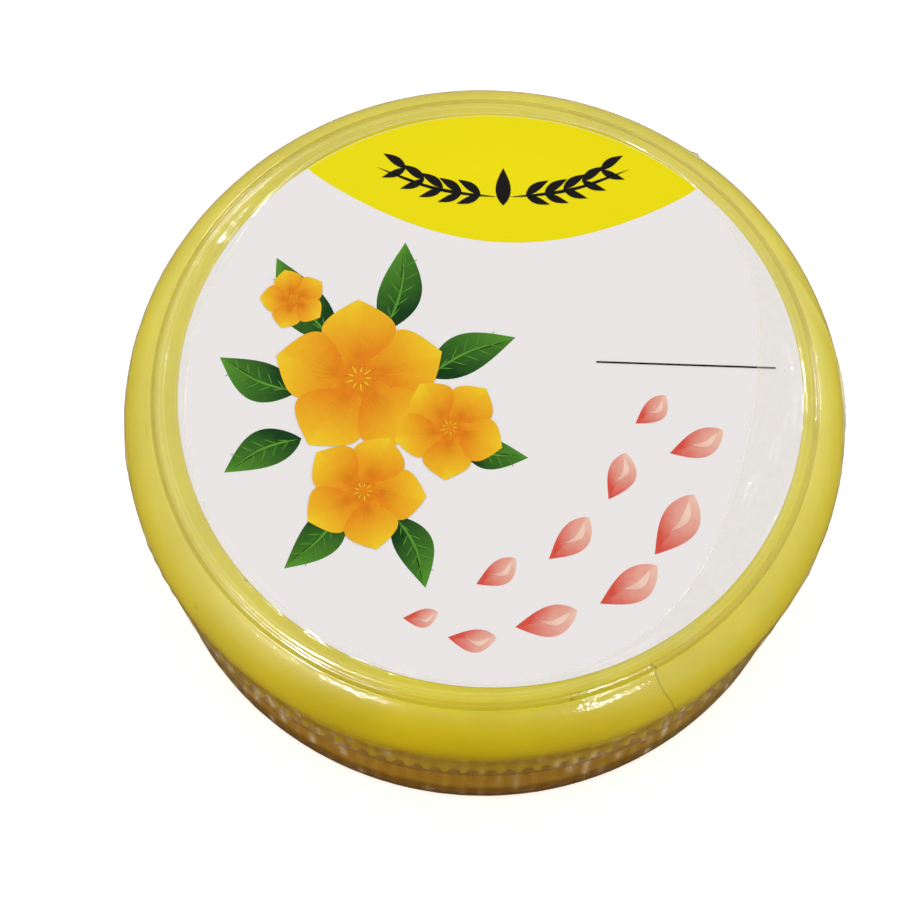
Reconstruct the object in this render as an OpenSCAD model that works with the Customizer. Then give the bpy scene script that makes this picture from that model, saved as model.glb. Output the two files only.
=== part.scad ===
// Low round jar with a screw lid, holding a soft pad with a well for a fingertip.
// The origin is at the centre of the base, +Z is up, and all sizes are in millimetres.

/* [Whole jar] */
// Height of the closed jar, from the base to the flat field on the lid
closed_h = 25.6; // [24:0.1:40]
// Gap between the lid's lower edge and the jar's ledge
parting_gap = 0.5; // [0.2:0.1:1.5]
// Clearance between stacked faces: rim, seal, liner and lid
seat_gap = 0.05; // [0.02:0.01:0.2]

/* [Neck and thread] */
// Outside diameter of the neck, without its thread
neck_d = 60.8; // [40:0.2:90]
// Wall of the neck
neck_wall = 1.6; // [1:0.1:3]
// Number of thread starts
thread_starts = 2; // [1:1:4]
// Distance from one thread turn to the next, along the axis
thread_pitch = 3; // [2.4:0.1:5]
// Height of the thread above the wall that carries it
thread_depth = 0.9; // [0.5:0.1:1.4]
// Width of a thread where it leaves the wall
thread_foot = 1.2; // [0.8:0.1:1.6]
// Width of a thread at its tip
thread_tip = 0.6; // [0.3:0.1:0.8]
// Angle that each start runs round the jar
thread_sweep = 300; // [120:10:330]
// Radial clearance between a thread's tip and the opposite wall
thread_gap = 0.3; // [0.15:0.05:0.6]
// Clearance between the flanks that meet when the lid is tight
thread_play = 0.2; // [0.1:0.05:0.6]
// Distance from the neck's rim down to the middle of the highest thread
thread_down = 3; // [2:0.1:5]

/* [Lid] */
// Height of the lid, from the flat field to its lower edge
lid_h = 13.5; // [12:0.1:24]
// Thickness of the lid's top
lid_top_t = 1.2; // [0.8:0.1:2.5]
// Wall of the lid's skirt, between the bore and the foot of the ribs
skirt_wall = 1.1; // [0.8:0.1:2.5]
// How far the rolled shoulder stands out beyond the ribs
shoulder_out = 0.8; // [0.3:0.05:1.6]
// Radius of the rolled shoulder
shoulder_r = 5.6; // [4:0.1:8]
// Depth of the shoulder's centre below the flat field
shoulder_down = 5.15; // [3.6:0.05:7]
// Distance from the lid's widest point in to the edge of its flat field
field_inset = 3.5; // [2:0.05:3.9]
// Radius of the small groove around the flat field
groove_r = 0.35; // [0.2:0.05:0.6]
// Rounding between the lid's top and its bore, inside
bore_round = 1.2; // [0.4:0.1:2]

/* [Jar] */
// How far the jar's wall stands back from the lid's skirt
jar_inset = 1; // [0.2:0.1:2]
// Wall between the cavity and the foot of the ribs
jar_wall = 1.4; // [1:0.1:2.5]
// Thickness of the floor
floor_t = 1.6; // [1:0.1:3]
// How far the base panel is raised above the foot ring
base_rise = 0.8; // [0.3:0.1:2]
// Width of the foot ring that the jar stands on
foot_w = 2; // [1:0.1:4]
// Rounding of the heel, where the wall meets the foot ring
heel_r = 1.6; // [0.8:0.1:2.4]
// Chamfer of the ledge's outer edge
ledge_chamfer = 0.4; // [0.2:0.1:1]
// Rounding between the floor and the wall, inside
floor_round = 2; // [0.6:0.1:4]
// Diameter of the dimple around the moulding gate, under the base
gate_dimple_d = 5; // [3:0.5:10]
// Diameter of the gate's stub in the dimple
gate_d = 1.8; // [1:0.1:2.5]
// Inner diameter of the stiffening step under the base
step_d = 44; // [20:1:48]
// Height of the stiffening step
step_h = 0.3; // [0.1:0.05:0.6]

/* [Grip ribs] */
// Number of ribs around the lid and around the jar
rib_count = 120; // [60:4:160]
// Height of a rib
rib_depth = 0.4; // [0.2:0.05:0.8]
// Share of the pitch that a rib takes at its foot
rib_foot = 0.62; // [0.4:0.02:0.8]
// Share of the pitch that a rib takes at its tip
rib_tip = 0.24; // [0.1:0.02:0.36]
// Chamfer at the lid's lower edge
skirt_chamfer = 0.3; // [0.1:0.05:0.6]

/* [Liner and inner seal] */
// Thickness of the liner
liner_t = 1; // [0.6:0.1:2]
// Thickness of the seal's flange on the neck's rim
flange_t = 0.6; // [0.4:0.1:1.2]
// Clearance around the seal's plug in the neck
plug_gap = 0.15; // [0.05:0.05:0.4]
// Wall of the seal's plug
plug_wall = 1; // [0.6:0.1:2]
// Depth of the plug below the rim
plug_h = 2.25; // [1.5:0.05:4]
// Thickness of the seal's web
web_t = 0.8; // [0.5:0.1:1.5]
// Length of the lift tab
tab_l = 14; // [8:0.5:18]
// Width of the lift tab
tab_w = 11; // [6:0.5:16]
// Thickness of the lift tab
tab_t = 0.7; // [0.5:0.1:1]
// Number of grip bars on the lift tab
tab_bars = 3; // [2:1:5]

/* [Sponge] */
// Air space between the sponge and the seal
head_space = 4.4; // [4.2:0.1:8]
// Clearance around the sponge
sponge_gap = 0.3; // [0.1:0.05:1]
// Rounding of the sponge's top edge
sponge_round = 1.6; // [0.5:0.1:3]
// Diameter of the finger well
well_d = 14; // [8:0.5:20]
// Thickness of sponge left under the finger well
well_floor = 2.6; // [2:0.1:6]
// Rounding of the finger well's mouth
well_round = 1.5; // [0.5:0.1:2.5]

/* [Label and film] */
// Bare margin between the label and the edge of the flat field
label_margin = 1.4; // [1:0.1:6]
// Thickness of the label
label_t = 0.1; // [0.05:0.01:0.3]
// How far the label lies off centre, along +X
label_shift = 0.5; // [0:0.1:1]
// Thickness of the shrink film
film_t = 0.1; // [0.05:0.01:0.2]
// Clearance between the film and what it covers
film_gap = 0.05; // [0.02:0.01:0.15]
// How far the film reaches in over the label, on average
film_lap = 1.8; // [0.4:0.1:6]
// How far the film's hole lies off centre, along -X
film_hole_shift = 2.7; // [0:0.1:3]
// Height above the base at which the film ends
film_end = 0.2; // [0.1:0.05:1]

/* [Hidden] */
$fn = 180;

// Heights, from the top of the lid down
lid_under_z = closed_h - lid_top_t;
liner_z = lid_under_z - seat_gap - liner_t;
flange_z = liner_z - seat_gap - flange_t;
rim_z = flange_z - seat_gap;
plug_z = rim_z - plug_h;
sponge_top_z = plug_z - head_space;
lid_edge_z = closed_h - lid_h;
ledge_z = lid_edge_z - parting_gap;
floor_z = base_rise + floor_t;

// Radii, from the neck outwards
neck_r = neck_d / 2;
mouth_r = neck_r - neck_wall;
bore_r = neck_r + thread_depth + thread_gap;
skirt_root_r = bore_r + skirt_wall;
skirt_r = skirt_root_r + rib_depth;
lid_r = skirt_r + shoulder_out;
jar_r = skirt_r - jar_inset;
jar_root_r = jar_r - rib_depth;
cavity_r = jar_root_r - jar_wall;
field_r = lid_r - field_inset;
label_r = field_r - label_margin;
roll_r = lid_r - shoulder_r;
roll_z = closed_h - shoulder_down;
plug_r = mouth_r - plug_gap;

// The cavity narrows to the mouth just under the ledge
throat_z = ledge_z - jar_wall;

// Threads: pitch times starts is the rise in one turn
thread_lead = thread_pitch * thread_starts;
thread_rise = thread_lead * thread_sweep / 360;
neck_thread_z = rim_z - thread_down - thread_rise;
// The lid's thread lies under the neck's, flank to flank, less the play
flank_slope = (thread_foot - thread_tip) / 2 / thread_depth;
thread_meet = thread_tip + flank_slope * (thread_depth - thread_gap);
lid_thread_z = neck_thread_z - thread_meet - thread_play;
thread_sink = 0.3;
thread_step = 6;
thread_runout = 30;

// Points of a closed ribbed outline: four to each rib
function rib_radius(k, root, tip) = (k == 1 || k == 2) ? tip : root;
function rib_phase(k) = [-rib_foot, -rib_tip, rib_tip, rib_foot][k] / 2;
function ribbed_outline(root, tip) = [
    for (i = [0 : rib_count - 1], k = [0 : 3])
        let (a = (i + rib_phase(k)) * 360 / rib_count, r = rib_radius(k, root, tip))
        [r * cos(a), r * sin(a)]
];

// Share of the full thread height at angle t of its sweep
function runout_share(t) = min(1, t / thread_runout, (thread_sweep - t) / thread_runout);

// Four corners of the thread's section at angle t, on a wall of radius wall_r;
// side is 1 for a thread on the outside of the wall and -1 for one on the inside
function thread_corners(t, wall_r, side, z) =
    let (
        share = runout_share(t),
        foot_r = wall_r - side * thread_sink,
        tip_r = foot_r + side * (thread_sink / 2 + (thread_depth + thread_sink / 2) * share),
        foot_half = thread_foot / 2 + flank_slope * thread_sink,
        tip_half = thread_tip / 2,
        mid = z + thread_lead * t / 360
    )
    [
        for (c = [[foot_r, -foot_half], [tip_r, -tip_half], [tip_r, tip_half], [foot_r, foot_half]])
            [c[0] * cos(t), c[0] * sin(t), mid + c[1]]
    ];

// One start of a thread, swept up a right-hand helix
module thread_start(wall_r, side, z) {
    steps = ceil(thread_sweep / thread_step);
    corners = [
        for (i = [0 : steps])
            each thread_corners(i * thread_sweep / steps, wall_r, side, z)
    ];
    strip = [
        for (i = [0 : steps - 1], k = [0 : 3])
            let (a = 4 * i + k, b = 4 * i + (k + 1) % 4)
            each [[a, b, a + 4], [b, b + 4, a + 4]]
    ];
    last = 4 * steps;
    caps = [[0, 2, 1], [0, 3, 2], [last, last + 1, last + 2], [last, last + 2, last + 3]];
    faces = concat(strip, caps);
    turned = [for (f = faces) [f[2], f[1], f[0]]];
    polyhedron(points = corners, faces = side > 0 ? faces : turned);
}

module thread(wall_r, side, z) {
    for (i = [0 : thread_starts - 1])
        rotate([0, 0, i * 360 / thread_starts])
            thread_start(wall_r, side, z);
}

// A rectangle in the section plane, from one corner to the other
module section_box(r0, z0, r1, z1) {
    translate([r0, z0])
        square([r1 - r0, z1 - z0]);
}

module section_disc(r, z, radius) {
    translate([r, z])
        circle(radius);
}

// Outer section of the lid above its ribs, grown by d
module shoulder_section(d) {
    intersection() {
        section_disc(roll_r, roll_z, shoulder_r + d);
        section_box(roll_r, 0, lid_r + 1, closed_h + d);
    }
    section_box(0, roll_z, field_r + d, closed_h + d);
}

// The lid's bore, with a rounding under its top
module bore_section() {
    section_box(0, lid_edge_z - 1, bore_r, lid_under_z - bore_round);
    section_box(0, lid_edge_z - 1, bore_r - bore_round, lid_under_z);
    section_disc(bore_r - bore_round, lid_under_z - bore_round, bore_round);
}

module lid_ribs() {
    intersection() {
        translate([0, 0, lid_edge_z])
            linear_extrude(roll_z - lid_edge_z)
                polygon(ribbed_outline(skirt_root_r, skirt_r));
        union() {
            translate([0, 0, lid_edge_z])
                cylinder(h = skirt_chamfer, r1 = skirt_r - skirt_chamfer, r2 = skirt_r + 0.001);
            translate([0, 0, lid_edge_z + skirt_chamfer])
                cylinder(h = lid_h, r = skirt_r + 1);
        }
    }
}

module lid_shell() {
    color([0.82, 0.77, 0.24])
        union() {
            difference() {
                union() {
                    lid_ribs();
                    rotate_extrude()
                        difference() {
                            shoulder_section(0);
                            section_disc(field_r + groove_r, closed_h - groove_r / 2, groove_r);
                        }
                }
                rotate_extrude()
                    bore_section();
            }
            thread(bore_r, -1, lid_thread_z);
        }
}

// Outer section of the jar below its ledge, grown by d
module wall_section(d) {
    section_box(0, -d, jar_r - heel_r, ledge_z);
    section_box(0, heel_r, jar_r + d, ledge_z - ledge_chamfer);
    polygon([[0, heel_r], [jar_r, ledge_z - ledge_chamfer], [jar_r - ledge_chamfer, ledge_z], [0, ledge_z]]);
    section_disc(jar_r - heel_r, heel_r, heel_r + d);
}

// Inside of the jar, wider than its mouth below the ledge
module cavity_section() {
    section_box(0, floor_z, cavity_r - floor_round, throat_z);
    section_box(0, floor_z + floor_round, cavity_r, throat_z);
    section_disc(cavity_r - floor_round, floor_z + floor_round, floor_round);
    polygon([[0, throat_z], [cavity_r, throat_z], [mouth_r, ledge_z], [0, ledge_z]]);
    section_box(0, ledge_z, mouth_r, rim_z + 1);
}

// Recess under the base: panel, stiffening step and the moulding gate in its dimple
module base_recess() {
    difference() {
        union() {
            translate([0, 0, -1])
                cylinder(h = base_rise + 1, r = jar_r - heel_r - foot_w);
            cylinder(h = base_rise + step_h, d = step_d);
            cylinder(h = base_rise + 2 * step_h, d = gate_dimple_d);
        }
        translate([0, 0, base_rise - step_h])
            cylinder(h = floor_t, d = gate_d);
    }
}

module jar_body() {
    color([0.72, 0.64, 0.16])
        difference() {
            union() {
                intersection() {
                    linear_extrude(ledge_z)
                        polygon(ribbed_outline(jar_root_r, jar_r));
                    rotate_extrude()
                        wall_section(0);
                }
                cylinder(h = rim_z, r = neck_r);
                thread(neck_r, 1, neck_thread_z);
            }
            rotate_extrude()
                cavity_section();
            base_recess();
        }
}

// Lift tab of the seal: a tongue with a round end and raised grip bars
module seal_tab() {
    tab_top = flange_z + flange_t - 0.3;
    bar_h = 0.3;
    inner = plug_r - plug_wall;
    translate([0, 0, tab_top - bar_h - tab_t])
        linear_extrude(tab_t) {
            translate([inner - tab_l + tab_w / 2, -tab_w / 2])
                square([tab_l - tab_w / 2 + plug_wall / 2, tab_w]);
            translate([inner - tab_l + tab_w / 2, 0])
                circle(d = tab_w);
        }
    for (i = [0 : tab_bars - 1])
        translate([inner - tab_l + 2.4 + 1.6 * i, -tab_w * 0.3, tab_top - bar_h - tab_t / 2])
            cube([0.7, tab_w * 0.6, bar_h + tab_t / 2]);
}

module inner_seal() {
    color([0.95, 0.95, 0.92]) {
        rotate_extrude() {
            section_box(0, plug_z, plug_r, plug_z + web_t);
            section_box(plug_r - plug_wall, plug_z, plug_r, flange_z + flange_t);
            section_box(plug_r - plug_wall, flange_z, neck_r - plug_gap, flange_z + flange_t);
        }
        seal_tab();
    }
}

module lid_liner() {
    color([0.93, 0.93, 0.9])
        translate([0, 0, liner_z])
            cylinder(h = liner_t, r = bore_r - bore_round - seat_gap);
}

// Soft pad: fills the cavity and the lower neck, with a well for a fingertip
module sponge() {
    gap = sponge_gap;
    wide_r = cavity_r - gap;
    slim_r = mouth_r - gap;
    bottom_z = floor_z + gap / 3;
    well_z = bottom_z + well_floor;
    color([0.93, 0.86, 0.45])
        difference() {
            rotate_extrude() {
                section_box(0, bottom_z, wide_r - floor_round, throat_z - gap);
                section_box(0, bottom_z + floor_round, wide_r, throat_z - gap);
                section_disc(wide_r - floor_round, bottom_z + floor_round, floor_round);
                polygon([[0, throat_z - gap], [wide_r, throat_z - gap], [slim_r, ledge_z - gap],
                         [0, ledge_z - gap]]);
                section_box(0, ledge_z - gap, slim_r, sponge_top_z - sponge_round);
                section_box(0, ledge_z - gap, slim_r - sponge_round, sponge_top_z);
                section_disc(slim_r - sponge_round, sponge_top_z - sponge_round, sponge_round);
            }
            rotate_extrude() {
                section_box(0, well_z, well_d / 2, sponge_top_z + 1);
                difference() {
                    section_box(0, sponge_top_z - well_round, well_d / 2 + well_round, sponge_top_z + 1);
                    section_disc(well_d / 2 + well_round, sponge_top_z - well_round, well_round);
                }
            }
        }
}

module label_disc() {
    color([0.96, 0.95, 0.93])
        translate([label_shift, 0, closed_h])
            cylinder(h = label_t, r = label_r);
}

// Outer section of the lid as the film sees it: the film passes over the groove, lies on the
// label and is stretched from the shoulder straight to the skirt's lower edge
module wrapped_section(d) {
    shoulder_section(d);
    section_box(0, roll_z, field_r + d, closed_h + label_t + d);
    section_box(0, 0, skirt_r + d, roll_z);
    stretch_section(d);
}

// Hollow under the shoulder that the stretched film closes
module stretch_section(d) {
    run = norm([skirt_r - roll_r, roll_z - lid_edge_z]);
    turn = acos((shoulder_r + d) / run) - atan2(roll_z - lid_edge_z, skirt_r - roll_r);
    polygon([[roll_r, lid_edge_z], [skirt_r + d, lid_edge_z],
             [roll_r + (shoulder_r + d) * cos(turn), roll_z + (shoulder_r + d) * sin(turn)],
             [roll_r, roll_z]]);
}

module lid_film() {
    color([0.9, 0.92, 0.9, 0.35])
        difference() {
            rotate_extrude()
                difference() {
                    wrapped_section(film_gap + film_t);
                    wrapped_section(film_gap);
                    section_box(0, -1, lid_r + 2, lid_edge_z + film_t);
                }
            translate([-film_hole_shift, 0, closed_h])
                cylinder(h = 2, r = label_r - film_lap);
        }
}

module jar_film() {
    color([0.9, 0.92, 0.9, 0.35])
        rotate_extrude()
            difference() {
                intersection() {
                    wall_section(film_gap + film_t);
                    section_box(0, film_end, jar_r + 1, ledge_z - ledge_chamfer);
                }
                wall_section(film_gap);
            }
}

jar_body();
sponge();
inner_seal();
lid_liner();
lid_shell();
label_disc();
lid_film();
jar_film();
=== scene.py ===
import math
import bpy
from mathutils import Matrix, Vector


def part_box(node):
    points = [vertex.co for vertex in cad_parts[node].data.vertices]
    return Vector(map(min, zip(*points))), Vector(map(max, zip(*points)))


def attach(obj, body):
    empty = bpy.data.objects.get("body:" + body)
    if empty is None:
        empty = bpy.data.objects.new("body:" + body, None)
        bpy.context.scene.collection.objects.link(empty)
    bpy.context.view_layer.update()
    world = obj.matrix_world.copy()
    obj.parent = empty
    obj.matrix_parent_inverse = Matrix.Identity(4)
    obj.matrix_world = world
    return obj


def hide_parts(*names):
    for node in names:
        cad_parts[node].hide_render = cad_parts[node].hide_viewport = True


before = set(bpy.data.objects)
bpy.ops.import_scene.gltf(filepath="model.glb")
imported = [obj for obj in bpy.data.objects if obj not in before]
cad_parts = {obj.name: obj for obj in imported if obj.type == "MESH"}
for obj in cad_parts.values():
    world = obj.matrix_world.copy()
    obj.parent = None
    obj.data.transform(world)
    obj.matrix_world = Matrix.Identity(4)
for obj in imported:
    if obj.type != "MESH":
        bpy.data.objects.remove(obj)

from types import SimpleNamespace

import bmesh
import bpy
from bpy.props import FloatProperty, FloatVectorProperty, IntProperty, PointerProperty
from mathutils import Matrix, Vector, noise

bl_info = {
    "name": "Sponge jar",
    "version": (1, 0, 0),
    "blender": (4, 5, 0),
    "location": "3D View > Sidebar > Jar",
    "description": "Models a low screw-lid jar with its sponge, seal, label and shrink film",
    "category": "Add Mesh",
}

MM = 0.001
TAU = 2 * math.pi
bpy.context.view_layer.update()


def node_reach(node):
    """Largest radius and lowest and highest height of a turned node, in mm."""
    low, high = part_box(node)
    return (high.x - low.x) / 2 / MM, low.z / MM, high.z / MM


LID_R, LID_EDGE_Z, LID_TOP_Z = node_reach("lid_shell")
RIM_Z = node_reach("jar_body")[2]
LABEL_R, LABEL_Z, LABEL_TOP_Z = node_reach("label_disc")
LABEL_X = sum(corner.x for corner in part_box("label_disc")) / 2 / MM
SPONGE_R, SPONGE_Z, SPONGE_TOP_Z = node_reach("sponge")
LINER_R, LINER_Z, LINER_TOP_Z = node_reach("lid_liner")
SEAL_R, SEAL_Z, SEAL_TOP_Z = node_reach("inner_seal")


def size(name, description, default):
    """A length setting, kept in metres, with its default in mm."""
    return FloatProperty(name=name, description=description, default=default * MM, min=0.0,
                         unit="LENGTH", subtype="DISTANCE", precision=5)


def colour(name, description, red, green, blue):
    """A colour setting, given as it shows on screen, from 0 to 255."""
    def linear(v):
        v /= 255
        return v / 12.92 if v <= 0.04045 else ((v + 0.055) / 1.055) ** 2.4
    return FloatVectorProperty(name=name, description=description, subtype="COLOR", size=3,
                               min=0.0, max=1.0, default=[linear(v) for v in (red, green, blue)])


class JarSizes(bpy.types.PropertyGroup):
    """Sizes of the jar and its lid"""
    lid_radius: size("Lid radius", "Widest radius, on the rolled shoulder", LID_R)
    shoulder: size("Shoulder", "Radius of the rolled shoulder", 5.6)
    shoulder_down: size("Shoulder depth", "Depth of the shoulder's centre", 5.15)
    field_inset: size("Field inset", "From the widest radius in to the field's edge", 3.5)
    groove: size("Groove", "Radius of the groove round the field", 0.35)
    skirt_root: size("Skirt", "Radius of the skirt between its ribs", 32.7)
    bore: size("Bore", "Radius of the lid's bore", 31.6)
    lid_top: size("Lid top", "Thickness of the lid's top", 1.2)
    jar_radius: size("Jar radius", "Radius over the jar's ribs", 32.1)
    ledge: size("Ledge", "Height of the ledge under the lid", 11.6)
    heel: size("Heel", "Rounding of the heel", 1.6)
    neck: size("Neck", "Radius of the neck", 30.4)
    mouth: size("Mouth", "Radius of the mouth", 28.8)
    cavity: size("Cavity", "Radius of the cavity", 30.3)
    floor: size("Floor", "Height of the floor inside", 2.4)
    rib_depth: size("Rib depth", "Height of a grip rib", 0.4)
    ribs: IntProperty(name="Ribs", description="Ribs round the lid and round the jar",
                      default=120, min=12, max=240)
    well: size("Finger well", "Radius of the sponge's well", 7)


class JarColours(bpy.types.PropertyGroup):
    """Colours of the jar, its fillings and its label"""
    lid: colour("Lid", "Moulded plastic of the lid", 222, 209, 22)
    # Darker and browner than the lid: partly the jar's own plastic, partly painted shade for the
    # lower jar under the lid.
    jar: colour("Jar", "Moulded plastic of the jar", 196, 160, 20)
    sponge: colour("Sponge", "Foam soaked with remover", 240, 222, 120)
    seal: colour("Seal", "Natural plastic of the seal", 238, 238, 230)
    liner: colour("Liner", "Foam wad in the lid", 232, 231, 224)
    paper: colour("Paper", "Coated paper of the label", 245, 244, 246)
    cap: colour("Cap", "Printed cap on the label", 250, 236, 2)
    petal: colour("Petal", "Tips of the printed blossoms", 250, 214, 40)
    petal_deep: colour("Petal base", "Inside of the printed blossoms", 238, 140, 20)
    leaf: colour("Leaf", "Printed leaves", 92, 160, 48)
    leaf_deep: colour("Leaf base", "Shaded part of the printed leaves", 16, 62, 20)
    drop: colour("Drop", "Tips of the printed drops", 250, 214, 196)
    drop_deep: colour("Drop base", "Deep end of the printed drops", 222, 84, 70)
    dark: colour("Dark print", "Rule and ornament", 22, 18, 18)


class FilmSettings(bpy.types.PropertyGroup):
    """The clear shrink film"""
    thickness: size("Thickness", "Thickness of the film", 0.05)
    gap: size("Gap", "Clearance to what the film covers", 0.04)
    wrinkle: size("Wrinkle", "Height of the wrinkles on the shoulder", 0.06)
    crumple: size("Crumple", "Height of the crumples under the shoulder", 0.13)
    fold: size("Fold", "Height of the folds and of the seam", 0.2)
    roughness: FloatProperty(name="Roughness", description="Roughness of the film",
                             default=0.09, min=0.0, max=1.0, subtype="FACTOR")


class StageSettings(bpy.types.PropertyGroup):
    """Camera and studio light"""
    distance: size("Camera distance", "From the camera to its aim", 240)
    lens: FloatProperty(name="Lens", description="Focal length, in millimetres",
                        default=104.49, min=10.0, max=400.0)
    tilt: FloatProperty(name="Tilt", description="Camera's angle above the floor",
                        default=math.radians(67.2345), subtype="ANGLE", unit="ROTATION")
    roll: FloatProperty(name="Roll", description="Camera's turn about its own axis",
                        default=math.radians(0.51227), subtype="ANGLE", unit="ROTATION")
    ambient: FloatProperty(name="Ambient", description="Strength of the soft surround",
                           default=1.5, min=0.0, max=5.0)
    window: FloatProperty(name="Window", description="Radiance of the low lights that glint",
                          default=420.0, min=0.0, max=2000.0)
    floor: colour("Floor", "Plain pale floor", 252, 252, 252)


def in_mm(group):
    """The values of a group of settings, with its lengths in mm."""
    values = {key: getattr(group, key) for key in group.__annotations__}
    for key in values:
        if group.bl_rna.properties[key].unit == "LENGTH":
            values[key] /= MM
    return SimpleNamespace(**values)


# Shapes. Sizes are in mm here, and times MM where they go into a mesh.


def corner_arc(before, corner, after, radius, steps=3):
    """Points that round a corner of an outline, with one more just beyond each end."""
    corner = Vector(corner)
    to_before, to_after = Vector(before) - corner, Vector(after) - corner
    a, b = to_before.normalized(), to_after.normalized()
    reach = radius / math.tan(a.angle(b) / 2)
    start, end = corner + a * reach, corner + b * reach
    points = []
    if to_before.length > reach * 1.6:
        points.append(corner + a * reach * 1.5)
    for k in range(steps + 1):
        t = k / steps
        points.append(start * (1 - t) ** 2 + corner * 2 * t * (1 - t) + end * t ** 2)
    if to_after.length > reach * 1.6:
        points.append(corner + b * reach * 1.5)
    return points


def outline(*corners):
    """Outline in the (radius, height) plane. A third number rounds its corner."""
    points = []
    for i, c in enumerate(corners):
        if len(c) == 2:
            points.append(Vector(c))
        else:
            points += corner_arc(corners[i - 1][:2], c[:2], corners[i + 1][:2], c[2])
    return points


def arc(centre, radius, start, end, steps):
    """Points of an arc in the (radius, height) plane, with its angles in degrees."""
    turns = [math.radians(start + (end - start) * k / steps) for k in range(steps + 1)]
    return [(centre[0] + radius * math.cos(a), centre[1] + radius * math.sin(a)) for a in turns]


def turned(points, columns):
    """A mesh turned round the Z axis: one sector is spun, then doubled until it closes."""
    doublings = 4
    sector = TAU / 2 ** doublings
    bm = bmesh.new()
    verts = [bm.verts.new((r * MM, 0, z * MM)) for r, z in points]
    edges = [bm.edges.new(pair) for pair in zip(verts, verts[1:])]
    bmesh.ops.spin(bm, geom=verts + edges, cent=(0, 0, 0), axis=(0, 0, 1), dvec=(0, 0, 0),
                   angle=sector, steps=columns // 2 ** doublings, use_merge=False,
                   use_duplicate=False)
    for k in range(doublings):
        whole = bm.verts[:] + bm.edges[:] + bm.faces[:]
        copied = bmesh.ops.duplicate(bm, geom=whole)["geom"]
        bmesh.ops.rotate(bm, cent=(0, 0, 0), matrix=Matrix.Rotation(sector * 2 ** k, 3, "Z"),
                         verts=only_verts(copied))
    bmesh.ops.remove_doubles(bm, verts=bm.verts, dist=1e-6)
    return bm


def only_verts(geometry):
    """The vertices among a list of mesh elements."""
    return [g for g in geometry if isinstance(g, bmesh.types.BMVert)]


def polar(v):
    """Angle of a vertex in radians, and its radius and height in mm."""
    return math.atan2(v.co.y, v.co.x), math.hypot(v.co.x, v.co.y) / MM, v.co.z / MM


def set_radius(v, wanted):
    """Moves a vertex straight in or out to a radius in mm."""
    share = wanted * MM / max(math.hypot(v.co.x, v.co.y), 1e-9)
    v.co.x *= share
    v.co.y *= share


def finished(bm, name, body, finish, replaces=(), sharp=50.0):
    """Turns a mesh into a piece that rides on its body and stands for its CAD nodes."""
    bmesh.ops.recalc_face_normals(bm, faces=bm.faces)
    for face in bm.faces:
        face.smooth = True
    for edge in bm.edges:
        if len(edge.link_faces) == 2 and edge.calc_face_angle(0) > math.radians(sharp):
            edge.smooth = False
    mesh = bpy.data.meshes.new(name)
    bm.to_mesh(mesh)
    bm.free()
    mesh.materials.append(material_for(finish))
    piece = bpy.data.objects.new(name, mesh)
    bpy.context.scene.collection.objects.link(piece)
    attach(piece, body)
    if replaces:
        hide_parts(*replaces)
    return piece


def rib_share(angle, count, foot=0.62, tip=0.24):
    """1 on the tip of a grip rib and 0 between the ribs."""
    phase = abs((angle * count / TAU + 0.5) % 1 - 0.5)
    return min(1.0, max(0.0, (foot / 2 - phase) / (foot / 2 - tip / 2)))


def smooth(low, high, value):
    """Rises from 0 at low to 1 at high without a corner."""
    t = min(1.0, max(0.0, (value - low) / (high - low)))
    return t * t * (3 - 2 * t)


def bump_at(value, centre, width):
    """A rounded ridge of height 1 across a line."""
    return math.exp(-((value - centre) / width) ** 2)


def angle_between(a, b):
    """Signed difference of two angles in degrees, from -180 to 180."""
    return (a - b + 180) % 360 - 180


def bump_toward(angle, centre, width):
    """A rounded ridge of height 1 at an angle. All three are in degrees."""
    return bump_at(angle_between(angle, centre), 0, width)


# Materials


def socket_set(node, values):
    """Gives a node's inputs their values or their links."""
    tree = node.id_data
    for key, value in values.items():
        target = node.inputs[key]
        if isinstance(value, bpy.types.NodeSocket):
            tree.links.new(value, target)
        elif hasattr(value, "__len__") and len(value) == 3 and target.type == "RGBA":
            target.default_value = (*value, 1.0)
        else:
            target.default_value = value


def add_node(tree, kind, values=None, **settings):
    """Adds a shader node with its settings and inputs."""
    node = tree.nodes.new("ShaderNode" + kind)
    for key, value in settings.items():
        setattr(node, key, value)
    socket_set(node, values or {})
    return node


def mix_colour(tree, share, a, b):
    """Mixes two colours and returns the output socket."""
    return add_node(tree, "Mix", {0: share, 6: a, 7: b}, data_type="RGBA").outputs[2]


def maths(tree, operation, a, b=0.0, c=None, clamp=False):
    """One arithmetic step; returns its output socket."""
    values = {0: a, 1: b} if c is None else {0: a, 1: b, 2: c}
    return add_node(tree, "Math", values, operation=operation, use_clamp=clamp).outputs[0]


def times(tree, a, b):
    """Product of two values."""
    return maths(tree, "MULTIPLY", a, b)


def times_plus(tree, a, b, c):
    """Product of two values, and a third added."""
    return maths(tree, "MULTIPLY_ADD", a, b, c)


def cloud(tree, place, scale, detail, **more):
    """Grey noise; returns its output socket."""
    return add_node(tree, "TexNoise", {"Vector": place, "Scale": scale, "Detail": detail,
                                       **more}).outputs[0]


def bumps(tree, height, distance, strength):
    """The normal that a height gives, with its distance in metres."""
    return add_node(tree, "Bump", {"Height": height, "Distance": distance,
                                   "Strength": strength}).outputs[0]


def painted(tree, name):
    """The value of one of the mesh's own attributes."""
    return add_node(tree, "Attribute", attribute_name=name).outputs["Fac"]


def ramp(tree, value, stops):
    """A colour ramp from a list of (place, grey level or colour)."""
    node = add_node(tree, "ValToRGB", {0: value})
    elements = node.color_ramp.elements
    for i, (place, level) in enumerate(stops):
        e = elements[i] if i < len(elements) else elements.new(place)
        e.position = place
        e.color = (*level, 1.0) if hasattr(level, "__len__") else (level,) * 3 + (1.0,)
    return node.outputs[0]


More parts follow.
